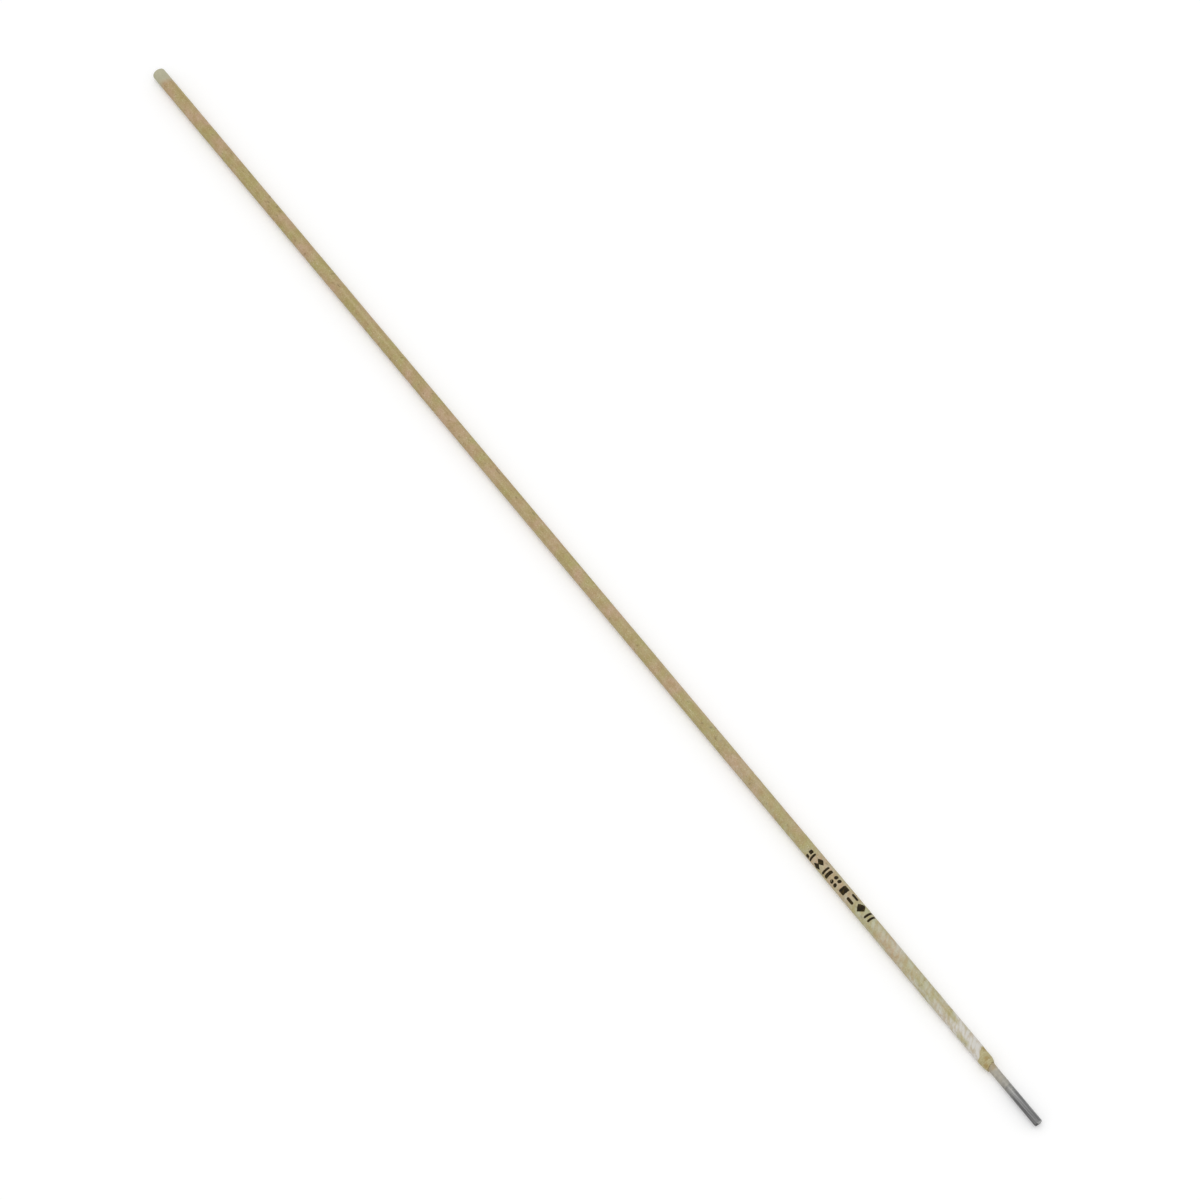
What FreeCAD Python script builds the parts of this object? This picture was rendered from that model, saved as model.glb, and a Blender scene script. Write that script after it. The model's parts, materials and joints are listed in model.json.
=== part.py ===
import FreeCAD, Part
import math
import os

# Stick welding electrode: a drawn steel core wire with a mineral coating extruded round it.
# The rod lies along X. The origin is the centre of the free face of the grip end, where a holder
# clamps the bare wire, and +X runs along the axis to the striking end.

# Driving dimensions, in millimetres
electrode_length = 350.0
core_diameter = 2.0
coating_wall = 0.6
grip_length = 16.8
shoulder_length = 2.2
shoulder_rim = 0.18
nose_length = 1.1
nose_rim = 0.20
core_proud = 0.15
grip_edge_break = 0.12
strike_edge_break = 0.08
brush_bite = 0.02
brush_runout = 0.8

# Sizes that follow from them
core_radius = core_diameter / 2.0
grip_radius = core_radius - brush_bite
coating_radius = core_radius + coating_wall
coating_start = grip_length
coating_end = electrode_length - core_proud
full_turn = 360.0


def at(x, radius):
    """A point of the profile: its place along the rod, and its distance from the axis."""
    return FreeCAD.Vector(x, 0.0, radius)


def straight(start, end):
    """A straight edge of the profile."""
    return Part.LineSegment(start, end).toShape()


def tangent_fall(x_full, radius_full, run, drop):
    """A round edge that leaves the rod's straight outline smoothly and falls by drop over run.

    A circle tangent to the outline has its chord at half the arc's angle, and that angle's
    tangent is drop / run, so the circle's radius is (run^2 + drop^2) / (2 drop).
    A negative run falls towards the grip end.
    """
    circle_radius = (run * run + drop * drop) / (2.0 * drop)
    half_angle = math.atan2(drop, abs(run))
    centre_radius = radius_full - circle_radius
    side = math.copysign(1.0, run)
    x_middle = x_full + side * circle_radius * math.sin(half_angle)
    radius_middle = centre_radius + circle_radius * math.cos(half_angle)
    start = at(x_full, radius_full)
    middle = at(x_middle, radius_middle)
    end = at(x_full + run, radius_full - drop)
    return Part.Arc(start, middle, end).toShape()


def turned(edges):
    """The solid that a closed half profile sweeps in one turn about the rod's axis."""
    face = Part.Face(Part.Wire(edges))
    return face.revolve(FreeCAD.Vector(0, 0, 0), FreeCAD.Vector(1, 0, 0), full_turn)


def make_core_wire():
    """The drawn wire, cut to length, with the small edge break that shearing and brushing leave.

    The brushes that strip the grip end clean also take a hair off the steel there. That bite
    runs out in a short slight cone, which ends where the coating begins.
    """
    grip_centre = at(0.0, 0.0)
    grip_face_edge = at(0.0, grip_radius - grip_edge_break)
    grip_side = at(grip_edge_break, grip_radius)
    bite_end = at(grip_length - brush_runout, grip_radius)
    full_wire = at(grip_length, core_radius)
    strike_side = at(electrode_length - strike_edge_break, core_radius)
    strike_face_edge = at(electrode_length, core_radius - strike_edge_break)
    strike_centre = at(electrode_length, 0.0)
    return turned([
        straight(grip_centre, grip_face_edge),
        straight(grip_face_edge, grip_side),
        straight(grip_side, bite_end),
        straight(bite_end, full_wire),
        straight(full_wire, strike_side),
        straight(strike_side, strike_face_edge),
        straight(strike_face_edge, strike_centre),
        straight(strike_centre, grip_centre),
    ])


def make_flux_coating():
    """The coating: a long tube on the wire, brushed to a taper at the grip end and rounded at the other.

    The shoulder rises from a thin rim on the bare wire to the full coating in one short curve.
    The nose falls from the full coating to a thin rim round the wire's striking end.
    """
    shoulder_drop = coating_wall - shoulder_rim
    nose_drop = coating_wall - nose_rim
    x_shoulder = coating_start + shoulder_length
    x_nose = coating_end - nose_length
    bore_grip = at(coating_start, core_radius)
    bore_strike = at(coating_end, core_radius)
    rim_grip = at(coating_start, core_radius + shoulder_rim)
    rim_strike = at(coating_end, core_radius + nose_rim)
    return turned([
        straight(bore_grip, rim_grip),
        tangent_fall(x_shoulder, coating_radius, -shoulder_length, shoulder_drop),
        straight(at(x_shoulder, coating_radius), at(x_nose, coating_radius)),
        tangent_fall(x_nose, coating_radius, nose_length, nose_drop),
        straight(rim_strike, bore_strike),
        straight(bore_strike, bore_grip),
    ])


nodes = {
    "core_wire": make_core_wire(),
    "flux_coating": make_flux_coating(),
}

os.makedirs("parts", exist_ok=True)
for name, shape in nodes.items():
    shape.exportStep("parts/" + name + ".step")
    box = shape.BoundBox
    print(name, "valid", shape.isValid(), "volume mm3", round(shape.Volume, 2),
          "x", round(box.XMin, 3), round(box.XMax, 3), "diameter", round(box.ZLength, 3))
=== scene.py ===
# %% [markdown]
# # A stick welding electrode
# A stick electrode is two things: a drawn steel core wire, and a mineral coating that is extruded
# round it and baked dry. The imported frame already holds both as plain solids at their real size.
# This file gives each one its real skin, adds the ink on the coating, and sets up the picture.
# The frame comes first, because every size below is read from it or fits it.

# %% Load the frame
import json
import math
import bpy
import numpy as np
from mathutils import Matrix, Vector

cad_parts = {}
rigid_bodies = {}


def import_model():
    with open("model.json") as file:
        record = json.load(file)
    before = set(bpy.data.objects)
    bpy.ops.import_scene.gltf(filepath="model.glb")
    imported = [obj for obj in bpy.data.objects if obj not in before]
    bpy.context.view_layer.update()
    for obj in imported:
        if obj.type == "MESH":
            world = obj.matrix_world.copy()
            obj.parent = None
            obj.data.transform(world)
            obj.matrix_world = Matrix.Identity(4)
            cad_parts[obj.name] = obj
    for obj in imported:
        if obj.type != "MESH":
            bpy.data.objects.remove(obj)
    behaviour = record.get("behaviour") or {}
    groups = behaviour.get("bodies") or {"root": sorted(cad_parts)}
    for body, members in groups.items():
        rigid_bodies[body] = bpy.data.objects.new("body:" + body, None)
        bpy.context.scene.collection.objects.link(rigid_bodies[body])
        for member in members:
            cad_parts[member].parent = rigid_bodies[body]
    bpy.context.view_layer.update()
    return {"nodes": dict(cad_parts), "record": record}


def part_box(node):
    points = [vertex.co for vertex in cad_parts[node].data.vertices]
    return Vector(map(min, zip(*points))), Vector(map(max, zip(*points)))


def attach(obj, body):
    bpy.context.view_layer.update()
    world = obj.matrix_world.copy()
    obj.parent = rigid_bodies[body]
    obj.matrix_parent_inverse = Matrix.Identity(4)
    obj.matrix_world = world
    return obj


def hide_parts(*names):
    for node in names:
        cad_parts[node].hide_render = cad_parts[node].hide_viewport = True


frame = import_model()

# %% [markdown]
# ## Sizes
# All shapes below are worked out in millimetres, along the rod from the free end of the bare grip,
# and are turned to metres once, when a mesh is made. The ends of each piece come from the frame's
# boxes and the grip's radius from the record's mount. How the coating ends can't be read from a box,
# so its rim at the shoulder and its run and rim at the nose are named here. The nose's rim is a
# little fuller than the solid's. Each ring of a mesh has as many corners as around says, and facing
# is the angle round the rod that looks at the camera.

# %% Sizes in millimetres
MM = 0.001
TURN = 2.0 * math.pi
wire_low, wire_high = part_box("core_wire")
coat_low, coat_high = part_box("flux_coating")
grip_pin = frame["record"]["mounts"][0]["dims"]
rod_length = wire_high[0] / MM
wire_radius = round(wire_high[2] / MM, 2)
coat_radius = round(coat_high[2] / MM, 2)
coat_start = coat_low[0] / MM
coat_end = coat_high[0] / MM
grip_radius = grip_pin["r_mm"]
shoulder_rim = 0.18
nose_run = 1.1
nose_rim = 0.34
around = 72
facing = math.radians(16.7)
print("rod", rod_length, "mm, wire radius", wire_radius, "grip radius", grip_radius)
print("coating radius", coat_radius, "from", round(coat_start, 2), "to", round(coat_end, 2), "mm")

# %% [markdown]
# ## Random heights that close round a rod
# Grain, drag lines, pits and dust are all irregular, but each must meet itself after one turn round
# the rod. A noise texture could do it in a material, but a shape needs it as numbers too. So random
# heights are laid out on a grid that is wrapped round the rod, and joined by smooth ramps. Long thin
# cells give streaks, and square ones give grain.

# %% Noise on the rod's skin
def ramp(value, low, high):
    """0 below low and 1 above high, joined by the smooth curve 3t^2 - 2t^3."""
    t = np.clip((value - low) / (high - low), 0.0, 1.0)
    return t * t * (3.0 - 2.0 * t)


def skin_noise(x, turn, cell, cells_round, seed):
    """Heights from 0 to 1 on the rod's skin, at x mm along it and at the angle turn.

    The skin is cut into cells, cell mm long and cells_round to a turn. Each corner has a random
    height, and the smooth curve 3t^2 - 2t^3 joins the heights both ways. The last column of corners
    is the first one again, so the pattern closes round the rod.
    """
    rows = int(rod_length / cell) + 3
    corners = np.random.default_rng(seed).random((rows, cells_round))
    along = np.asarray(x) / cell
    across = np.asarray(turn) / TURN * cells_round
    row = np.floor(along).astype(int)
    column = np.floor(across).astype(int)
    a = ramp(along - row, 0.0, 1.0)
    b = ramp(across - column, 0.0, 1.0)
    near, far = row % rows, (row + 1) % rows
    left, right = column % cells_round, (column + 1) % cells_round
    near_height = corners[near, left] * (1 - b) + corners[near, right] * b
    far_height = corners[far, left] * (1 - b) + corners[far, right] * b
    return near_height * (1 - a) + far_height * a


sample = skin_noise(np.linspace(0, rod_length, 2000), np.linspace(0, TURN, 2000), 0.45, 24, 1)
print("skin noise runs from", round(float(sample.min()), 2), "to", round(float(sample.max()), 2))

# %% [markdown]
# ## A mesh made of rings
# Every turned thing is a row of rings. A tube with a bore closes into a loop: its last ring joins
# its first, and it needs no cap. A solid rod ends in one point at each end, so its caps close there.
# A Screw modifier could spin a profile too, but then the skin is the same all round the rod, and
# this one isn't. The rings come as one array, so the whole mesh is made at once.

# %% Rings to mesh
def ring_mesh(name, x, radius, turn, looped, values):
    """A closed mesh from rings: x and radius are arrays of ring by angle, in mm, and turn is the angle.

    A corner stands at (x, r sin turn, r cos turn). looped joins the last ring to the first, and
    otherwise each end closes on one point at the mean of its ring. values are named numbers from
    0 to 1, one to a corner, that the materials read.
    """
    rings, sides = x.shape
    corners = np.stack([x, radius * np.sin(turn), radius * np.cos(turn)], axis=-1)
    points = corners.reshape(-1, 3)
    ring = np.arange(rings if looped else rings - 1)
    side = np.arange(sides)
    here = ring[:, None] * sides + side[None, :]
    here_next = ring[:, None] * sides + ((side + 1) % sides)[None, :]
    there = ((ring + 1) % rings)[:, None] * sides + side[None, :]
    there_next = ((ring + 1) % rings)[:, None] * sides + ((side + 1) % sides)[None, :]
    faces = np.stack([here, there, there_next, here_next], axis=-1).reshape(-1, 4).tolist()
    flat = {key: value.reshape(-1) for key, value in values.items()}
    if not looped:
        first = len(points)
        points = np.concatenate([points, corners[[0, -1]].mean(axis=1)])
        last_ring = (rings - 1) * sides
        faces += [[first, s, (s + 1) % sides] for s in range(sides)]
        faces += [[first + 1, last_ring + (s + 1) % sides, last_ring + s] for s in range(sides)]
        for key, value in flat.items():
            flat[key] = np.append(value, [value[:sides].mean(), value[-sides:].mean()])
    mesh = bpy.data.meshes.new(name)
    mesh.from_pydata((points * MM).tolist(), [], faces)
    mesh.polygons.foreach_set("use_smooth", [True] * len(mesh.polygons))
    for key, value in flat.items():
        mesh.attributes.new(key, "FLOAT", "POINT").data.foreach_set("value", value.astype(np.float32))
    mesh.update()
    made = bpy.data.objects.new(name, mesh)
    bpy.context.scene.collection.objects.link(made)
    return made


print("corners of a ring:", around, "and on the coating", round(coat_radius * TURN / around, 2), "mm apart")

# %% [markdown]
# A closed mesh also has a volume, and its sign tells which way the faces point. Blender's viewport
# can show that by colour, but a number can be printed beside each piece and compared with the solid.

# %% Volume of a closed mesh
def enclosed(piece):
    """The volume inside a closed mesh in mm3: a sixth of the sum of each triangle's triple product.

    It is positive when the faces point outwards.
    """
    mesh = piece.data
    mesh.calc_loop_triangles()
    points = np.empty(len(mesh.vertices) * 3)
    mesh.vertices.foreach_get("co", points)
    index = np.empty(len(mesh.loop_triangles) * 3, dtype=np.int64)
    mesh.loop_triangles.foreach_get("vertices", index)
    a, b, c = points.reshape(-1, 3)[index.reshape(-1, 3)].transpose(1, 0, 2) / MM
    return float(np.einsum("ij,ij->i", a, np.cross(b, c)).sum() / 6.0)


print("the coating's solid:", round(enclosed(frame["nodes"]["flux_coating"]), 1), "mm3")

# %% [markdown]
# ## The coating
# The paste of rutile, clay and water glass leaves the die under pressure, so its skin has long faint
# drag lines, a slow swell, a fine sandy grain and a few pits. After drying, rotating brushes strip
# the grip end. They stand a little aslant, so the shoulder they leave is blunt on one side of the rod
# and long on the other. A lathe profile could give the smooth form, but not an uneven one, so the
# radius is a function of both the place along the rod and the angle.

# %% Where the brushes bit
def side_of(turn):
    """1 on the rod's near side as the camera sees it, -1 on its far side, 0 facing the camera."""
    return np.sin(turn - facing)


def ragged(turn, reach, lobes, seed):
    """Unevenness round a ring in mm: reach in some lobes to a turn, and half of it in three times as many."""
    coarse = skin_noise(0.0, turn, 1.0, lobes, seed) - 0.5
    fine = skin_noise(0.0, turn, 1.0, 3 * lobes, seed + 1) - 0.5
    return reach * (coarse + 0.5 * fine)


def coat_foot(turn):
    """Where the coating begins, in mm from the grip's end: a slanted ring, a little ragged."""
    return coat_start + 0.25 - 0.42 * side_of(turn) + ragged(turn, 0.30, 8, 33)


def brush_edge(turn):
    """Where the stripped shoulder ends and the coating's own skin begins, slanted the same way."""
    return coat_start + 3.65 - 1.10 * side_of(turn) + ragged(turn, 0.34, 9, 31)


def brushed(x, turn):
    """1 where the brushes cut the coating, 0 on its own skin."""
    return 1.0 - ramp(x, brush_edge(turn) - 0.12, brush_edge(turn) + 0.12)


angles = np.arange(around) / around * TURN
foot_ring = coat_foot(angles)
edge_ring = brush_edge(angles)
print("coating's foot from", round(float(foot_ring.min()), 2), "to", round(float(foot_ring.max()), 2), "mm")
print("brushed edge from", round(float(edge_ring.min()), 2), "to", round(float(edge_ring.max()), 2), "mm")

# %% [markdown]
# The relief is a sum of heights, each with cells as long and as wide as what it stands for: 0.45 mm
# for sand, 26 mm for a drag line, 0.20 mm for a brush's groove. A bump in the material could shade
# them, but then the outline would stay smooth and an exported mesh would lose them.

# %% The coating's relief
def skin_relief(x, turn):
    """How far the baked skin lies below its full radius, in mm.

    It is a sum of grain in two sizes, long drag lines, a slow swell and a few pits, where the noise
    comes near its top.
    """
    grain = 0.012 * skin_noise(x, turn, 0.45, 24, 1) + 0.008 * skin_noise(x, turn, 0.95, 12, 2)
    drag = 0.009 * skin_noise(x, turn, 26.0, 36, 3)
    swell = 0.014 * skin_noise(x, turn, 13.0, 2, 4)
    pits = 0.055 * ramp(skin_noise(x, turn, 0.7, 16, 5), 0.90, 1.0)
    return grain + drag + swell + pits


def brush_relief(x, turn):
    """How deep the brushes' grooves and gouges are, in mm: thin rings, and a few wider scoops."""
    grooves = 0.030 * skin_noise(x, turn, 0.20, 5, 6)
    scoops = 0.085 * skin_noise(x, turn, 1.1, 7, 7)
    return grooves + scoops


def coating_skin(x, turn):
    """The coating's outer radius at x mm and an angle, between its foot and its nose.

    The shoulder falls by (1 - t)^2 of its height, with t from 0 at its foot to 1 at its top, and the
    run between them is long on the near side and short on the far one. The nose falls by t^4.
    """
    run = 1.9 + 0.75 * side_of(turn)
    rise = np.clip((x - coat_foot(turn)) / run, 0.0, 1.0)
    shoulder_fall = (coat_radius - wire_radius - shoulder_rim) * (1.0 - rise) ** 2
    nose = np.clip((x - (coat_end - nose_run)) / nose_run, 0.0, 1.0)
    chipped = 1.0 + 0.45 * (skin_noise(x, turn, 0.6, 9, 8) - 0.5)
    nose_fall = (coat_radius - wire_radius - nose_rim) * np.clip(nose ** 4 * chipped, 0.0, 1.0)
    cut = brushed(x, turn)
    relief = skin_relief(x, turn) * (1.0 - cut) + (0.012 + brush_relief(x, turn)) * cut
    share = np.minimum(0.3 + rise, 1.0) * np.minimum(1.3 - nose, 1.0)
    return np.maximum(coat_radius - shoulder_fall - nose_fall - relief * share, wire_radius + 0.04)


shaft_skin = coating_skin(np.linspace(30.0, 340.0, 2000), np.linspace(0.0, 9.0 * TURN, 2000))
print("the shaft's radius runs from", shaft_skin.min().round(3), "to", shaft_skin.max().round(3), "mm")

# %% [markdown]
# The rings stand close together where the form turns, and 0.3 mm apart along the straight shaft,
# which is about the size of a grain. Rings 0.1 mm apart would show each grain's form, but the shaft
# alone would then need nearly half a million triangles. The bore is a few plain rings, because only
# the wire touches it. Its last ring and the skin's first both lie on the foot, and close the tube.
# The foot's slant fades out over the first 4.8 mm, and at the nose the rings are set back a little,
# unevenly and most on the far side.

# %% The coating's mesh
foot_reach = 4.8


def coating_rings():
    """Places of the rings, out along the skin and back in the bore, and whether each is on the skin."""
    shoulder = np.arange(0.0, foot_reach, 0.09) + coat_start
    shaft = np.arange(coat_start + foot_reach, coat_end - nose_run, 0.3)
    nose = np.linspace(coat_end - nose_run, coat_end, 20)
    bore = np.linspace(coat_end, coat_start, 6)
    x = np.concatenate([shoulder, shaft, nose, bore])
    return x, np.arange(len(x)) < len(x) - len(bore)


ring_x, ring_outside = coating_rings()
grid_x, grid_turn = np.meshgrid(ring_x, angles, indexing="ij")
foot_share = np.clip(1.0 - (grid_x - coat_start) / foot_reach, 0.0, 1.0)
nose_share = np.clip(1.0 - (coat_end - grid_x) / nose_run, 0.0, 1.0) ** 2
nose_back = 0.10 * (1.0 - side_of(grid_turn)) + 0.12 * skin_noise(0.0, grid_turn, 1.0, 13, 35)
skin_x = grid_x + foot_share * (coat_foot(grid_turn) - coat_start) - nose_share * nose_back
grid_radius = np.where(ring_outside[:, None], coating_skin(skin_x, grid_turn), wire_radius)
print("the coating has", len(ring_x), "rings,", int(ring_outside.sum()), "of them on its skin")

# %% [markdown]
# The brushes also throw up fine white dust, which stays on the last stretch as a film: nearly solid
# beside the shoulder, in patches beyond, and as a thin haze past the ink. Painting it by hand would
# look right from one side only. Here the film, the cut, the nose and the pits are numbers on the
# mesh's corners, so the material's colours lie exactly where the form is, all round the rod.

# %% Dust, cut and pits on the skin
from_edge = skin_x - brush_edge(grid_turn)
blots = skin_noise(skin_x, grid_turn, 2.2, 6, 41)
wipes = skin_noise(skin_x, grid_turn, 6.0, 18, 42)
film_patch = 0.65 * blots + 0.35 * wipes
film = ramp(1.0 - from_edge / 17.0 + 1.3 * (film_patch - 0.5), 0.05, 0.75)
haze = 0.72 * np.exp(-np.clip(from_edge, 0.0, None) / 55.0) * (0.30 + 1.4 * film_patch)
cut_mask = brushed(skin_x, grid_turn)
coating_values = {
    "dust": np.clip(0.86 * film + haze * (1.0 - film), 0.0, 1.0) * (1.0 - cut_mask),
    "brushed": cut_mask,
    "nose": ramp(skin_x + 1.2 * (blots - 0.5) + 1.2 * (film_patch - 0.5), coat_end - 5.6, coat_end - 2.2),
    "drag": skin_noise(skin_x, grid_turn, 26.0, 36, 3),
    "pits": ramp(skin_noise(skin_x, grid_turn, 0.7, 16, 5), 0.86, 1.0),
    "scoops": skin_noise(skin_x, grid_turn, 1.1, 7, 7),
}
coating = ring_mesh("coating_baked", skin_x, grid_radius, grid_turn, True, coating_values)
print("coating:", 2 * len(coating.data.polygons), "triangles, volume", round(enclosed(coating), 1), "mm3")

# %% [markdown]
# ## The core wire
# The wire is cold drawn through a die, which leaves fine lines along it, and is cropped to length
# by shears, which leave a smooth side, a torn side and a small burr. The brushes that strip the
# coating also leave faint hoops near the shoulder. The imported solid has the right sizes, but it is a
# plain cylinder with perfect ends, which looks like plastic close up. Only the bare grip and the
# tip are seen, so the rings are close together there, and far apart inside the coating.

# %% The wire's mesh
grip_break = 0.12
tip_break = 0.08
face_rings = 10
runout_end = coat_start
runout_start = grip_pin["length_mm"] + grip_break


def wire_profile():
    """Ring places and radii: out over the grip's face, along the wire's side, in over the tip's face."""
    face = np.linspace(0.08, 0.94, face_rings)
    grip_face = np.stack([np.zeros(face_rings), face * (grip_radius - grip_break)], axis=-1)
    corner = np.linspace(0.0, 1.0, 5)
    grip_corner = np.stack([grip_break * corner, grip_radius - grip_break * (1.0 - corner)], axis=-1)
    grip_x = np.arange(grip_break + 0.1, runout_start, 0.12)
    grip_side = np.stack([grip_x, np.full(len(grip_x), grip_radius)], axis=-1)
    run_x = np.linspace(runout_start, runout_end, 8)
    run_side = np.stack([run_x, np.linspace(grip_radius, wire_radius, 8)], axis=-1)
    foot_x = np.arange(runout_end + 0.2, runout_end + 2.0, 0.2)
    bore_x = np.linspace(runout_end + 3.0, coat_end - 0.6, 12)
    tip_x = np.linspace(coat_end - 0.4, rod_length - tip_break, 8)
    rest_x = np.concatenate([foot_x, bore_x, tip_x])
    rest = np.stack([rest_x, np.full(len(rest_x), wire_radius)], axis=-1)
    corner = corner[1:]
    tip_corner = np.stack([tip_x[-1] + tip_break * corner, wire_radius - tip_break * corner], axis=-1)
    tip_radius = face[::-1] * (wire_radius - tip_break)
    tip_face = np.stack([np.full(face_rings, rod_length), tip_radius], axis=-1)
    return np.concatenate([grip_face, grip_corner, grip_side, run_side, rest, tip_corner, tip_face])


profile = wire_profile()
wire_x = np.repeat(profile[:, :1], around, axis=1)
wire_r = np.repeat(profile[:, 1:], around, axis=1)
wire_turn = np.repeat(angles[None, :], len(profile), axis=0)
bare = 1.0 - ramp(wire_x, runout_end - 0.4, runout_end)
long_lines = skin_noise(wire_x, wire_turn, 90.0, 36, 51)
# side_shade is one broad tone round the wire that makes one side darker: painted shade.
side_shade = skin_noise(wire_x, wire_turn, 400.0, 3, 126)
die_lines = 0.008 * long_lines + 0.004 * skin_noise(wire_x, wire_turn, 7.0, 24, 52)
brush_rings = 0.006 * skin_noise(wire_x, wire_turn, 0.25, 4, 53) * ramp(wire_x, 7.0, 14.0)
side_share = np.clip(wire_r / grip_radius, 0.0, 1.0) ** 4
wire_skin = wire_r - (die_lines + brush_rings) * bare * side_share
print("the wire has", len(profile), "rings, die lines up to", die_lines.max().round(4), "mm deep")

# %% [markdown]
# Shears push a little of the steel over as they close: the face ends up slightly tilted, smooth
# where the blade cut and pitted where the steel tore, with a burr along the last edge. A sculpting
# brush could do it by eye. Here the same words make the numbers: a tilt across the face, a rough
# half, and a small lift of one edge.

# %% The cropped ends
cut_way = 2.1


def cropped(radius, turn, seed):
    """How far a cropped face stands off its plane in mm, and how torn it is from 0 to 1.

    It is tilted along the blade's way, and the half that tore is rougher than the half that was cut.
    """
    across = radius * np.cos(turn - cut_way)
    torn = ramp(across + 0.3 * (skin_noise(radius * 40.0, turn, 9.0, 9, seed + 1) - 0.5), -0.05, 0.20)
    rough = skin_noise(radius * 40.0, turn, 6.0, 14, seed) - 0.5
    return 0.05 + 0.035 * across + 0.02 * torn + (0.006 + 0.070 * torn) * rough, torn


on_grip_face = (wire_x < grip_break) * np.clip(1.0 - wire_x / grip_break, 0.0, 1.0)
from_tip = rod_length - wire_x
on_tip_face = (from_tip < tip_break) * np.clip(1.0 - from_tip / tip_break, 0.0, 1.0)
grip_sink, grip_torn = cropped(wire_r, wire_turn, 54)
tip_sink, tip_torn = cropped(wire_r, wire_turn, 58)
burr = 0.020 * ramp(np.cos(wire_turn - cut_way), 0.45, 0.95) * np.exp(-((wire_x - 0.14) / 0.08) ** 2)
wire_skin = wire_skin + burr
wire_x = wire_x + on_grip_face * np.clip(grip_sink, 0.0, 0.11)
wire_x = wire_x - on_tip_face * np.clip(tip_sink, 0.0, 0.075)
print("share of the grip's face that is torn:", round(float(grip_torn[:face_rings].mean()), 2))

# %% [markdown]
# What the brushes did to the wire grows towards the coating: first they only scour it, then they
# smear coating on it, and at the coating's foot they stain it. Each is one ramp along the rod, and
# the same ragged smear is added to the place, so that no border is a clean ring.

# %% Scouring, smears and stains
smear = skin_noise(wire_x, wire_turn, 3.0, 6, 56) + 0.7 * skin_noise(wire_x, wire_turn, 0.7, 14, 57) - 0.85
off_tip = 1.0 - ramp(wire_x, coat_end - 0.5, coat_end - 0.2)
wire_values = {
    "scoured": ramp(wire_x + smear, 6.3, 10.5) * off_tip,
    "residue": ramp(wire_x + smear, 8.2, 16.4) * off_tip,
    "stained": ramp(wire_x + 0.5 * smear, coat_start - 1.3, coat_start - 0.3) * off_tip,
    "face": np.maximum(on_grip_face, on_tip_face),
    "torn": on_grip_face * grip_torn + on_tip_face * tip_torn,
    # lines_and_side_shade: die lines, and a painted shade that darkens one side of the wire.
    "lines_and_side_shade": 0.4 * long_lines + 0.6 * side_shade,
}
wire = ring_mesh("core_wire_drawn", wire_x, wire_skin, wire_turn, False, wire_values)
print("wire:", 2 * len(wire.data.polygons), "triangles, volume", round(enclosed(wire), 1), "mm3")

# %% [markdown]
# ## The ink
# A small rubber wheel rolls a line of black marks onto the coating near the grip. These are plain
# bars, blocks, dots and diamonds, all of them one curve: a superellipse, which is a diamond at power
# 1, a dot at power 2 and a block at power 6. A mask in the coating's material could colour them, but
# its edge would be only as sharp as the mesh. So each mark is a thin slab of ink that follows the
# coating's own skin, a few hundredths of a millimetre thick, with a slightly ragged edge.
#
# A motif is a list of marks. A mark has its place along and across from the motif's middle, its half
# length, its half width and its power.

# %% Ink marks
ink_start = 60.3
ink_pitch = 2.92
ink_slant = math.radians(60.0)
ink_film = 0.022
ink_sides = 40
motifs = [
    [(-0.60, 0.0, 0.29, 1.22, 6), (0.60, 0.0, 0.29, 1.22, 6)],
    [(0.0, 0.0, 1.18, 1.27, 1.1)],
    [(0.0, -0.75, 1.04, 0.34, 6), (0.0, 0.75, 1.04, 0.34, 6)],
    [(0.0, 0.0, 0.84, 1.06, 6)],
    [(i, j, 0.46, 0.53, 2) for i in (-0.60, 0.60) for j in (-0.70, 0.70)],
    [(-0.50, 0.0, 0.44, 1.20, 6), (0.66, 0.0, 0.29, 1.20, 6)],
    [(0.0, -0.66, 1.08, 0.70, 1.1), (0.0, 0.66, 1.08, 0.70, 1.1)],
    [(-0.66, 0.0, 0.29, 1.20, 6), (0.42, -0.70, 0.48, 0.48, 6), (0.42, 0.70, 0.48, 0.48, 6)],
]


def ink_slab(middle_x, middle_turn, half_long, half_across, power, seed):
    """Corners and faces of one mark, in mm.

    In a direction w the outline stands at (|cos w / a|^p + |sin w / b|^p)^(-1/p), made ragged by a
    few percent. Rings inside it share the outline's form. The lower side is the same rings, sunk
    into the skin.
    """
    directions = np.arange(ink_sides) / ink_sides * TURN
    rng = np.random.default_rng(seed)
    long_term = np.abs(np.cos(directions) / half_long) ** power
    across_term = np.abs(np.sin(directions) / half_across) ** power
    uneven = 1.0 + 0.07 * (rng.random(ink_sides) - 0.5)
    reach = (long_term + across_term) ** (-1.0 / power) * uneven
    levels = np.array([0.02, 0.35, 0.7, 0.93, 1.0, 1.0, 0.6, 0.02])
    lift = np.array([1.0, 1.0, 1.0, 0.9, 0.35, -0.6, -0.6, -0.6]) * ink_film
    x = middle_x + levels[:, None] * reach * np.cos(directions)
    turn = middle_turn + levels[:, None] * reach * np.sin(directions) / coat_radius
    radius = coating_skin(x, turn) + lift[:, None]
    points = np.stack([x, radius * np.sin(turn), radius * np.cos(turn)], axis=-1).reshape(-1, 3)
    level = np.arange(len(levels) - 1)[:, None] * ink_sides
    below = level + ink_sides
    step = np.arange(ink_sides)[None, :]
    after = (step + 1) % ink_sides
    faces = np.stack([level + step, below + step, below + after, level + after], axis=-1)
    last = (len(levels) - 1) * ink_sides
    caps = [list(range(ink_sides)), list(range(last + ink_sides - 1, last - 1, -1))]
    return points, faces.reshape(-1, 4).tolist() + caps


print("motifs:", len(motifs), "over", round(ink_pitch * len(motifs), 1), "mm from", ink_start, "mm")

# %% [markdown]
# The wheel stood a little askew, so the line climbs round the rod: each motif sits one pitch further
# along and a few degrees further round. All the slabs go into one mesh, because they are one print.

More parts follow.
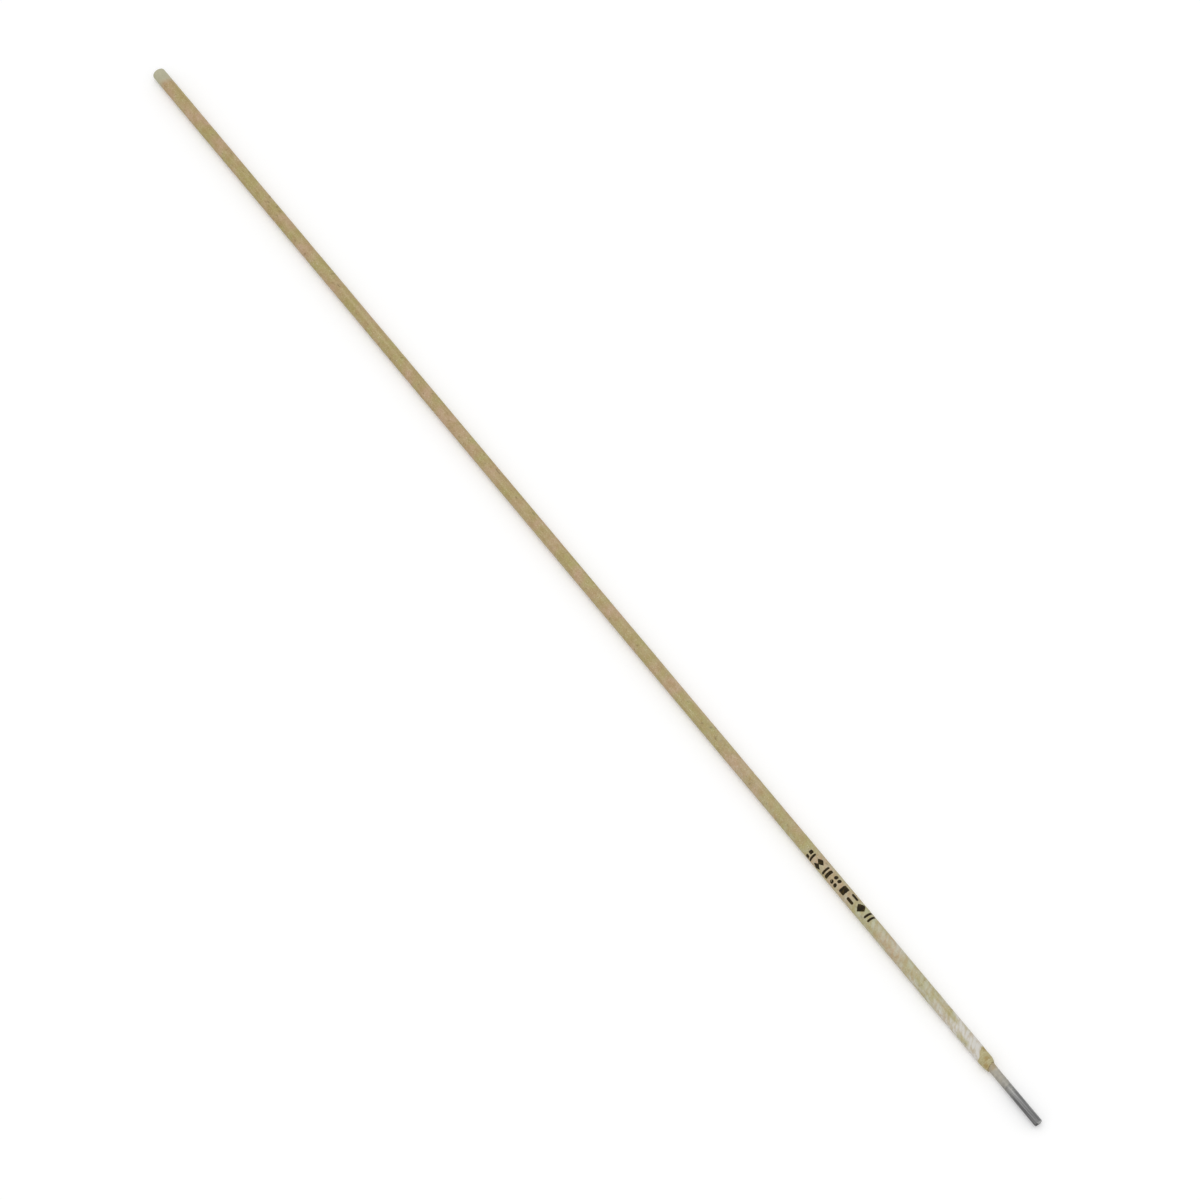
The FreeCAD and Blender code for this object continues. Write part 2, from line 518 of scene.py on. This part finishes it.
# %% The line of marks
ink_points, ink_faces, corner_count = [], [], 0
for number, motif in enumerate(motifs):
    column_x = ink_start + ink_pitch * (number + 0.5)
    column_turn = facing + ink_slant * ((number + 0.5) / len(motifs) - 0.53)
    for offset_x, offset_across, half_long, half_across, power in motif:
        mark_x = column_x + offset_x
        mark_turn = column_turn + offset_across / coat_radius
        seed = 70 + len(ink_points)
        points, faces = ink_slab(mark_x, mark_turn, half_long, half_across, power, seed)
        ink_faces += [[corner + corner_count for corner in face] for face in faces]
        ink_points.append(points)
        corner_count += len(points)
ink_mesh = bpy.data.meshes.new("ink_marks")
ink_mesh.from_pydata((np.concatenate(ink_points) * MM).tolist(), [], ink_faces)
ink_mesh.polygons.foreach_set("use_smooth", [True] * len(ink_mesh.polygons))
ink = bpy.data.objects.new("ink_marks", ink_mesh)
bpy.context.scene.collection.objects.link(ink)
print("ink:", len(ink_points), "marks, volume", round(enclosed(ink), 3), "mm3")

# %% [markdown]
# ## Making materials
# A colour is written as it looks on a screen, in sRGB, but the renderer wants linear light, so one
# function turns it. Another adds a node with its settings and its links in one line, so that each
# material below reads as a list of what happens to the light.

# %% Colour and node helpers
MIX = "ShaderNodeMix"
NOISE = "ShaderNodeTexNoise"
STEP = "ShaderNodeMapRange"
MATH = "ShaderNodeMath"


def colour(text):
    """A colour from six hex digits in sRGB, as linear red, green, blue and 1."""
    parts = [int(text[i:i + 2], 16) / 255.0 for i in (0, 2, 4)]
    return tuple(c / 12.92 if c <= 0.04045 else ((c + 0.055) / 1.055) ** 2.4 for c in parts) + (1.0,)


def add(tree, kind, inputs, output, **settings):
    """Adds a node, sets its settings, gives each input a value or a link, and returns one of its outputs.

    In a colour mix, input 0 is the share, 6 and 7 are the two colours, and output 2 is the result.
    """
    made = tree.nodes.new(kind)
    for key, value in settings.items():
        setattr(made, key, value)
    for key, value in inputs.items():
        if isinstance(value, bpy.types.NodeSocket):
            tree.links.new(value, made.inputs[key])
        else:
            made.inputs[key].default_value = value
    return made.outputs[output]


def blank_material(name):
    """An empty node material: the material, its tree, its Object coordinates and its surface input."""
    material = bpy.data.materials.new(name)
    material.use_nodes = True
    tree = material.node_tree
    tree.nodes.clear()
    place = tree.nodes.new("ShaderNodeTexCoord").outputs["Object"]
    return material, tree, place, tree.nodes.new("ShaderNodeOutputMaterial").inputs["Surface"]


per_mm = 1.0 / MM
print("a grain of 0.3 mm is a noise scale of", round(per_mm / 0.3))

# %% [markdown]
# ## Baked rutile coating
# Rutile, feldspar, mica and clay bound with water glass bake to a dry tan body. It is matte, like
# unglazed pottery, so its roughness is near 1. The eye sees tan that wanders between olive and a
# rosy clay, dark and pale grains, and paler drag lines. One flat tan would be right on average and
# look like paint, so the colour is built up in layers, from slow to fine. Real grains are about
# 0.05 mm, too fine to show, so they are drawn at 0.12 to 0.5 mm.

# %% Coating material: the tan body
coat_material, tree, place, surface = blank_material("baked_rutile_flux")
wander = add(tree, NOISE, {"Vector": place, "Scale": per_mm / 6.0, "Detail": 2.0}, "Fac")
patch = add(tree, NOISE, {"Vector": place, "Scale": per_mm / 1.9, "Detail": 2.0}, "Fac")
grain = add(tree, NOISE, {"Vector": place, "Scale": per_mm / 0.30, "Detail": 4.0, "Roughness": 0.7}, "Fac")
fine = add(tree, NOISE, {"Vector": place, "Scale": per_mm / 0.12, "Detail": 3.0}, "Fac")
drag = add(tree, "ShaderNodeAttribute", {}, "Fac", attribute_name="drag")
pits = add(tree, "ShaderNodeAttribute", {}, "Fac", attribute_name="pits")
share = add(tree, STEP, {"Value": wander, "From Min": 0.38, "From Max": 0.62}, "Result")
tan = add(tree, MIX, {0: share, 6: colour("A69B62"), 7: colour("B79A7C")}, 2, data_type="RGBA")
share = add(tree, STEP, {"Value": patch, "From Min": 0.40, "From Max": 0.66, "To Max": 0.6}, "Result")
tan = add(tree, MIX, {0: share, 6: tan, 7: colour("A38A5B")}, 2, data_type="RGBA")
share = add(tree, STEP, {"Value": drag, "From Min": 0.45, "From Max": 0.95, "To Max": 0.35}, "Result")
tan = add(tree, MIX, {0: share, 6: tan, 7: colour("C3B48E")}, 2, data_type="RGBA")
dark_grain = add(tree, STEP, {"Value": grain, "From Min": 0.52, "From Max": 0.70, "To Max": 0.55}, "Result")
tan = add(tree, MIX, {0: dark_grain, 6: tan, 7: colour("8A744A")}, 2, data_type="RGBA")
share = add(tree, STEP, {"Value": grain, "From Min": 0.46, "From Max": 0.30, "To Max": 0.65}, "Result")
tan = add(tree, MIX, {0: share, 6: tan, 7: colour("CDC29E")}, 2, data_type="RGBA")
print("tan body:", len(tree.nodes), "nodes")

# %% [markdown]
# A few single grains stand out: pale mica flakes and dark ilmenite sand. Noise alone gives clouds,
# not grains, so each lies at the middle of a random cell. The patch noise is added to the distance
# from the middle, so they differ in size, and many cells have none. The fine noise is added too, so
# none is round.

# %% Coating material: single grains
flakes = add(tree, "ShaderNodeTexVoronoi", {"Vector": place, "Scale": per_mm / 0.50}, "Distance")
flakes = add(tree, MATH, {0: patch, 1: 0.5, 2: flakes}, 0, operation="MULTIPLY_ADD")
flakes = add(tree, MATH, {0: fine, 1: 0.4, 2: flakes}, 0, operation="MULTIPLY_ADD")
mica = add(tree, STEP, {"Value": flakes, "From Min": 0.59, "From Max": 0.52, "To Max": 0.6}, "Result")
tan = add(tree, MIX, {0: mica, 6: tan, 7: colour("D9D2BC")}, 2, data_type="RGBA")
sand = add(tree, "ShaderNodeTexVoronoi", {"Vector": place, "Scale": per_mm / 0.44}, "Distance")
sand = add(tree, MATH, {0: patch, 1: -0.5, 2: sand}, 0, operation="MULTIPLY_ADD")
sand = add(tree, MATH, {0: fine, 1: 0.4, 2: sand}, 0, operation="MULTIPLY_ADD")
specks = add(tree, STEP, {"Value": sand, "From Min": 0.05, "From Max": -0.01, "To Max": 0.6}, "Result")
tan = add(tree, MIX, {0: specks, 6: tan, 7: colour("5F4C30")}, 2, data_type="RGBA")
# The pits are coloured darker: painted shade in their hollows.
share = add(tree, STEP, {"Value": pits, "To Max": 0.75}, "Result")
tan = add(tree, MIX, {0: share, 6: tan, 7: colour("6E5836")}, 2, data_type="RGBA")
print("with single grains:", len(tree.nodes), "nodes")

# %% [markdown]
# Over the tan lies the white dust. A plain mix by its number would look like fog. It was wiped round
# by the turning brushes, so slanted streaks break it up, and fine noise is added to it before it is
# cut off, so its edge runs from grain to grain. Where it is thin, it looks a little green.

# %% Coating material: the white dust
dust = add(tree, "ShaderNodeAttribute", {}, "Fac", attribute_name="dust")
aslant = add(tree, "ShaderNodeMapping", {"Vector": place, "Rotation": (0.0, 0.0, 0.9)}, "Vector")
aslant = add(tree, "ShaderNodeMapping", {"Vector": aslant, "Scale": (0.2, 1.0, 1.0)}, "Vector")
swirl = add(tree, NOISE, {"Vector": aslant, "Scale": per_mm / 0.8, "Detail": 3.0}, "Fac")
wipe = {"Value": swirl, "From Min": 0.42, "From Max": 0.62, "To Min": 1.15, "To Max": 0.5}
wiped = add(tree, STEP, wipe, "Result")
cover = add(tree, MATH, {0: dust, 1: wiped}, 0, operation="MULTIPLY")
cover = add(tree, MATH, {0: fine, 1: 0.8, 2: cover}, 0, operation="MULTIPLY_ADD")
cover = add(tree, STEP, {"Value": cover, "From Min": 0.44, "From Max": 1.34}, "Result")
share = add(tree, STEP, {"Value": dust, "From Min": 0.35, "From Max": 0.8}, "Result")
white = add(tree, MIX, {0: share, 6: colour("BCC4AE"), 7: colour("D0CDC6")}, 2, data_type="RGBA")
skin = add(tree, MIX, {0: cover, 6: tan, 7: white}, 2, data_type="RGBA")
print("with dust:", len(tree.nodes), "nodes")

# %% [markdown]
# Where the brushes cut, the fresh body shows: more yellow, with a scratch round the rod for each
# bristle, and a darker floor in each scoop, which is painted shade in the hollow. The nose is dipped
# in a pale starting paste, thick enough to hide the grains under it. Both could be materials of their
# own, but a cover over the same tan lets it come through along their edges.

# %% Coating material: the brushed shoulder and the nose
brushed_here = add(tree, "ShaderNodeAttribute", {}, "Fac", attribute_name="brushed")
scoops = add(tree, "ShaderNodeAttribute", {}, "Fac", attribute_name="scoops")
hoops = add(tree, "ShaderNodeMapping", {"Vector": place, "Scale": (1.0, 0.06, 0.06)}, "Vector")
scratches = add(tree, NOISE, {"Vector": hoops, "Scale": per_mm / 0.16, "Detail": 3.0}, "Fac")
# Deeper in the scoops the colour is darker: painted shade in the hollows.
share = add(tree, STEP, {"Value": scoops, "From Min": 0.35, "From Max": 0.85}, "Result")
fresh = add(tree, MIX, {0: share, 6: colour("B2A97F"), 7: colour("A08A57")}, 2, data_type="RGBA")
share = add(tree, STEP, {"Value": scratches, "From Min": 0.50, "From Max": 0.70, "To Max": 0.4}, "Result")
fresh = add(tree, MIX, {0: share, 6: fresh, 7: colour("CBC19F")}, 2, data_type="RGBA")
share = add(tree, STEP, {"Value": scratches, "From Min": 0.46, "From Max": 0.30, "To Max": 0.4}, "Result")
fresh = add(tree, MIX, {0: share, 6: fresh, 7: colour("8B7748")}, 2, data_type="RGBA")
fresh = add(tree, MIX, {0: dark_grain, 6: fresh, 7: colour("7F6B40")}, 2, data_type="RGBA")
fresh = add(tree, MIX, {0: mica, 6: fresh, 7: colour("D9D2BC")}, 2, data_type="RGBA")
skin = add(tree, MIX, {0: brushed_here, 6: skin, 7: fresh}, 2, data_type="RGBA")
nose = add(tree, "ShaderNodeAttribute", {}, "Fac", attribute_name="nose")
paste = add(tree, MATH, {0: fine, 1: 1.8, 2: nose}, 0, operation="MULTIPLY_ADD")
paste = add(tree, STEP, {"Value": paste, "From Min": 1.10, "From Max": 1.75, "To Max": 0.92}, "Result")
dipped = add(tree, MIX, {0: patch, 6: colour("A9A78D"), 7: colour("BFBDA4")}, 2, data_type="RGBA")
share = add(tree, MATH, {0: dark_grain, 1: 0.8}, 0, operation="MULTIPLY")
dipped = add(tree, MIX, {0: share, 6: dipped, 7: colour("8D8A70")}, 2, data_type="RGBA")
skin = add(tree, MIX, {0: paste, 6: skin, 7: dipped}, 2, data_type="RGBA")
rough = add(tree, STEP, {"Value": mica, "To Min": 0.92, "To Max": 0.55}, "Result")
bump = add(tree, "ShaderNodeBump", {"Height": grain, "Strength": 0.8, "Distance": 0.035 * MM}, "Normal")
coat = {"Base Color": skin, "Roughness": rough, "Normal": bump, "IOR": 1.5}
tree.links.new(add(tree, "ShaderNodeBsdfPrincipled", coat, "BSDF"), surface)
print("whole coating:", len(tree.nodes), "nodes")

# %% [markdown]
# ## Drawn mild steel
# Bright drawn wire is grey and half dull: it mirrors soft light in long streaks, because the die
# leaves lines along it. An anisotropic shader stretches a highlight that way, but under soft light
# there is none to stretch, so the lines are drawn as colour and bump: their pale and dark streaks in
# the colour are die lines and painted reflection streaks. A broad tone round the wire also makes one
# side darker than the other, which is painted shade. The real lines are about 0.01 mm apart, and are
# drawn at 0.1 mm. Towards the shoulder the brushes have scoured it paler.

# %% Steel material: the drawn side
wire_material, tree, place, surface = blank_material("drawn_mild_steel")
lines_and_side_shade = add(tree, "ShaderNodeAttribute", {}, "Fac", attribute_name="lines_and_side_shade")
scoured = add(tree, "ShaderNodeAttribute", {}, "Fac", attribute_name="scoured")
along = add(tree, "ShaderNodeMapping", {"Vector": place, "Scale": (0.015, 1.0, 1.0)}, "Vector")
streaks = add(tree, NOISE, {"Vector": along, "Scale": per_mm / 0.10, "Detail": 4.0}, "Fac")
hoops = add(tree, "ShaderNodeMapping", {"Vector": place, "Scale": (1.0, 0.05, 0.05)}, "Vector")
scratches = add(tree, NOISE, {"Vector": hoops, "Scale": per_mm / 0.12, "Detail": 3.0}, "Fac")
spots = add(tree, NOISE, {"Vector": place, "Scale": per_mm / 0.9, "Detail": 4.0, "Roughness": 0.6}, "Fac")
# The steel darkens along the die lines, and on one side of the wire as painted shade.
share = add(tree, STEP, {"Value": lines_and_side_shade, "From Min": 0.2, "From Max": 0.8}, "Result")
steel = add(tree, MIX, {0: share, 6: colour("828282"), 7: colour("545454")}, 2, data_type="RGBA")
# Dark and pale streaks along the wire: die lines, and painted reflection streaks of the soft light.
share = add(tree, STEP, {"Value": streaks, "From Min": 0.44, "From Max": 0.62, "To Max": 0.75}, "Result")
steel = add(tree, MIX, {0: share, 6: steel, 7: colour("4C4C4C")}, 2, data_type="RGBA")
share = add(tree, STEP, {"Value": streaks, "From Min": 0.42, "From Max": 0.32, "To Max": 0.6}, "Result")
steel = add(tree, MIX, {0: share, 6: steel, 7: colour("A4A4A2")}, 2, data_type="RGBA")
rubbed = add(tree, STEP, {"Value": scratches, "From Min": 0.38, "From Max": 0.62}, "Result")
share = add(tree, MATH, {0: scoured, 1: rubbed}, 0, operation="MULTIPLY")
steel = add(tree, MIX, {0: share, 6: steel, 7: colour("989894")}, 2, data_type="RGBA")
print("drawn side:", len(tree.nodes), "nodes")

# %% [markdown]
# A cropped face has fine lines along the blade's way where it was cut, and is dull and crumbly where
# it tore; the pale flecks of the torn half are crumbs and painted glints. The mesh already says which
# corners are which, so the material only lays two finishes side by side. The blade's lines are turned
# by the same angle as the tilt of the face.

# %% Steel material: the cropped faces
face = add(tree, "ShaderNodeAttribute", {}, "Fac", attribute_name="face")
torn = add(tree, "ShaderNodeAttribute", {}, "Fac", attribute_name="torn")
blade = add(tree, "ShaderNodeMapping", {"Vector": place, "Rotation": (cut_way, 0.0, 0.0)}, "Vector")
blade = add(tree, "ShaderNodeMapping", {"Vector": blade, "Scale": (1.0, 1.0, 0.06)}, "Vector")
shear = add(tree, NOISE, {"Vector": blade, "Scale": per_mm / 0.07, "Detail": 3.0}, "Fac")
share = add(tree, STEP, {"Value": shear, "From Min": 0.38, "From Max": 0.62}, "Result")
cut_steel = add(tree, MIX, {0: share, 6: colour("A6A6A4"), 7: colour("6E6E6D")}, 2, data_type="RGBA")
crumb = add(tree, NOISE, {"Vector": place, "Scale": per_mm / 0.18, "Detail": 4.0, "Roughness": 0.7}, "Fac")
# Pale flecks on the torn half: crumbs of steel and painted glints.
share = add(tree, STEP, {"Value": crumb, "From Min": 0.38, "From Max": 0.62}, "Result")
torn_steel_and_glints = add(tree, MIX, {0: share, 6: colour("4E4E4E"), 7: colour("8E8E8C")}, 2, data_type="RGBA")
ends = add(tree, MIX, {0: torn, 6: cut_steel, 7: torn_steel_and_glints}, 2, data_type="RGBA")
steel = add(tree, MIX, {0: face, 6: steel, 7: ends}, 2, data_type="RGBA")
print("with faces:", len(tree.nodes), "nodes")

# %% [markdown]
# The smeared coating is a beige haze over the steel, broken up by spots, and an ochre stain at the
# coating's foot. It also hides the shine: where it lies, the surface is less metallic and rougher,
# because the same smear drives the colour, the metal and the roughness.

# %% Steel material: smears and shine
residue = add(tree, "ShaderNodeAttribute", {}, "Fac", attribute_name="residue")
stained = add(tree, "ShaderNodeAttribute", {}, "Fac", attribute_name="stained")
patches = {"Value": spots, "From Min": 0.30, "From Max": 0.62, "To Min": 1.15, "To Max": 0.5}
broken = add(tree, STEP, patches, "Result")
smeared = add(tree, MATH, {0: residue, 1: broken}, 0, operation="MULTIPLY", use_clamp=True)
steel = add(tree, MIX, {0: smeared, 6: steel, 7: colour("B8B1A1")}, 2, data_type="RGBA")
share = add(tree, MATH, {0: stained, 1: broken}, 0, operation="MULTIPLY", use_clamp=True)
steel = add(tree, MIX, {0: share, 6: steel, 7: colour("A7956F")}, 2, data_type="RGBA")
shine = add(tree, STEP, {"Value": smeared, "To Min": 1.0, "To Max": 0.1}, "Result")
dull = add(tree, MATH, {0: torn, 1: smeared}, 0, operation="MAXIMUM")
rough = add(tree, STEP, {"Value": dull, "To Min": 0.38, "To Max": 0.85}, "Result")
height = add(tree, MATH, {0: torn, 1: crumb, 2: streaks}, 0, operation="MULTIPLY_ADD")
bump = add(tree, "ShaderNodeBump", {"Height": height, "Strength": 0.6, "Distance": 0.008 * MM}, "Normal")
metal = {"Base Color": steel, "Metallic": shine, "Roughness": rough, "Normal": bump}
tree.links.new(add(tree, "ShaderNodeBsdfPrincipled", metal, "BSDF"), surface)
print("steel:", len(tree.nodes), "nodes")

# %% [markdown]
# ## Carbon black ink
# The marking ink is carbon black in a thin varnish. It sinks into the dry coating, so it is dull, and
# brown where it is thin. Pure black would look like a hole, so one noise thins it, and the same
# noise makes it rougher there and lowers its skin.

# %% Ink material
ink_material, tree, place, surface = blank_material("carbon_black_ink")
thin = add(tree, NOISE, {"Vector": place, "Scale": per_mm / 0.45, "Detail": 3.0, "Roughness": 0.7}, "Fac")
share = add(tree, STEP, {"Value": thin, "From Min": 0.46, "From Max": 0.68, "To Max": 0.8}, "Result")
black = add(tree, MIX, {0: share, 6: colour("1B1507"), 7: colour("4E4019")}, 2, data_type="RGBA")
bump = add(tree, "ShaderNodeBump", {"Height": thin, "Strength": 0.5, "Distance": 0.01 * MM}, "Normal")
uneven = {"Value": thin, "From Min": 0.3, "From Max": 0.7, "To Min": 0.60, "To Max": 0.85}
rough = add(tree, STEP, uneven, "Result")
varnish = {"Base Color": black, "Roughness": rough, "Normal": bump, "Specular IOR Level": 0.15}
tree.links.new(add(tree, "ShaderNodeBsdfPrincipled", varnish, "BSDF"), surface)
print("ink:", len(tree.nodes), "nodes")

# %% [markdown]
# ## Joining the pieces to the frame
# Each new skin stands for one solid and rides on the one body. The solids can't stay under the
# skins, because every groove and pit lies below the solid's surface, so they are hidden. The ink
# is on the coating, so it rides too.

# %% Pieces, bodies and slots
finishes = [
    (coating, coat_material, "flux_coating"),
    (wire, wire_material, "core_wire"),
    (ink, ink_material, "flux_coating"),
]
for piece, material, slot in finishes:
    piece.data.materials.append(material)
    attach(piece, "root")
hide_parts("flux_coating")
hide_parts("core_wire")
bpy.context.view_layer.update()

# %% [markdown]
# ## Floor
# The picture has a white ground with only a soft grey shadow close beside the rod. White paper under
# soft light is nearly that, but it stays a little grey, and more light would bleach the rod. So the
# last bit of white is the floor's own light, and only the camera and the reflections see it. The
# rest is lit and keeps the shadow, and what the floor throws back at the rod is plain white paper.

# %% Floor
floor_half = 4.0
floor_z = -coat_radius * MM
floor_mesh = bpy.data.meshes.new("studio_floor")
floor_corners = [(floor_half * i, floor_half * j, floor_z) for i, j in ((-1, -1), (1, -1), (1, 1), (-1, 1))]
floor_mesh.from_pydata(floor_corners, [], [(0, 1, 2, 3)])
floor = bpy.data.objects.new("studio_floor", floor_mesh)
bpy.context.scene.collection.objects.link(floor)
floor_material, tree, place, surface = blank_material("white_paper")
path = tree.nodes.new("ShaderNodeLightPath").outputs
seen = add(tree, MATH, {0: path["Is Camera Ray"], 1: path["Is Glossy Ray"]}, 0, operation="MAXIMUM")
seen = add(tree, MATH, {0: seen, 1: path["Is Transmission Ray"]}, 0, operation="MAXIMUM")
glow = add(tree, MATH, {0: seen, 1: 0.125}, 0, operation="MULTIPLY")
pure_white = colour("FFFFFF")
paper = {"Base Color": colour("F4F4F4"), "Roughness": 0.95}
paper.update({"Emission Color": pure_white, "Emission Strength": glow})
tree.links.new(add(tree, "ShaderNodeBsdfPrincipled", paper, "BSDF"), surface)
floor.data.materials.append(floor_material)
print("floor at", round(floor_z / MM, 3), "mm")

# %% [markdown]
# ## Light
# The rod lies in an even white room, so nearly all its light comes from the world, and its shadow is
# a soft halo on both sides. A few lamps could imitate that, but each would leave a shadow of its
# own. One large weak soft box overhead adds the rest, and draws the long streak along the steel.
# The room lights the rod a little less than it looks, 0.80 against 1.0, so that the pale dust
# doesn't bleach out.

# %% World and lamp
world = bpy.data.worlds.new("soft_room")
bpy.context.scene.world = world
world.use_nodes = True
tree = world.node_tree
tree.nodes.clear()
path = tree.nodes.new("ShaderNodeLightPath").outputs
seen = add(tree, MATH, {0: path["Is Camera Ray"], 1: path["Is Glossy Ray"]}, 0, operation="MAXIMUM")
seen = add(tree, MATH, {0: seen, 1: path["Is Transmission Ray"]}, 0, operation="MAXIMUM")
strength = add(tree, STEP, {"Value": seen, "To Min": 0.80, "To Max": 1.0}, "Result")
room = add(tree, "ShaderNodeBackground", {"Color": pure_white, "Strength": strength}, "Background")
tree.links.new(room, tree.nodes.new("ShaderNodeOutputWorld").inputs["Surface"])
rod_middle = Vector((rod_length / 2 * MM, 0.0, 0.0))
box_place = Vector((0.10, 0.12, 1.45))
box_light = bpy.data.lights.new("soft_box", "AREA")
box_light.shape = "SQUARE"
box_light.size = 1.2
box_light.energy = 5.0
soft_box = bpy.data.objects.new("soft_box", box_light)
bpy.context.scene.collection.objects.link(soft_box)
box_turn = (rod_middle - box_place).to_track_quat("-Z", "Y").to_matrix().to_4x4()
soft_box.matrix_world = Matrix.Translation(box_place) @ box_turn
print("soft box", round((rod_middle - box_place).length, 2), "m from the rod")

# %% [markdown]
# ## Camera
# The camera stands where the photograph's did against this rod, 1.45 m away and 58 degrees up, on
# the grip's side. The rod is thin, so the lens is longer and turned to centre it. Blender's tracking
# would keep the picture level, but this rod runs down the picture, so the camera's three axes are
# worked out here: it looks along one of them, and is rolled to the photograph's slope.

# %% Camera
camera_place = Vector((-0.4863, 0.3719, 1.2401))
aim_at = Vector((0.1648, 0.0, 0.0))
photo_focal_px = 4252.0
closer = 1.5
frame_px = 1200.0
slope = math.radians(50.04)
back = (camera_place - aim_at).normalized()
down_rod = Vector((-1.0, 0.0, 0.0))
down_rod = (down_rod - back * down_rod.dot(back)).normalized()
across_rod = back.cross(down_rod)
right = down_rod * math.cos(slope) + across_rod * math.sin(slope)
up = across_rod * math.cos(slope) - down_rod * math.sin(slope)
lens = bpy.data.cameras.new("photo_camera")
lens.sensor_width = 36.0
lens.lens = lens.sensor_width * photo_focal_px * closer / frame_px
lens.clip_start = 0.05
lens.clip_end = 50.0
camera = bpy.data.objects.new("photo_camera", lens)
bpy.context.scene.collection.objects.link(camera)
camera.matrix_world = Matrix.Translation(camera_place) @ Matrix((right, up, back)).transposed().to_4x4()
bpy.context.scene.camera = camera
bpy.context.scene.view_settings.view_transform = "Standard"
print("lens", round(lens.lens, 1), "mm, distance", round((camera_place - aim_at).length, 3), "m")
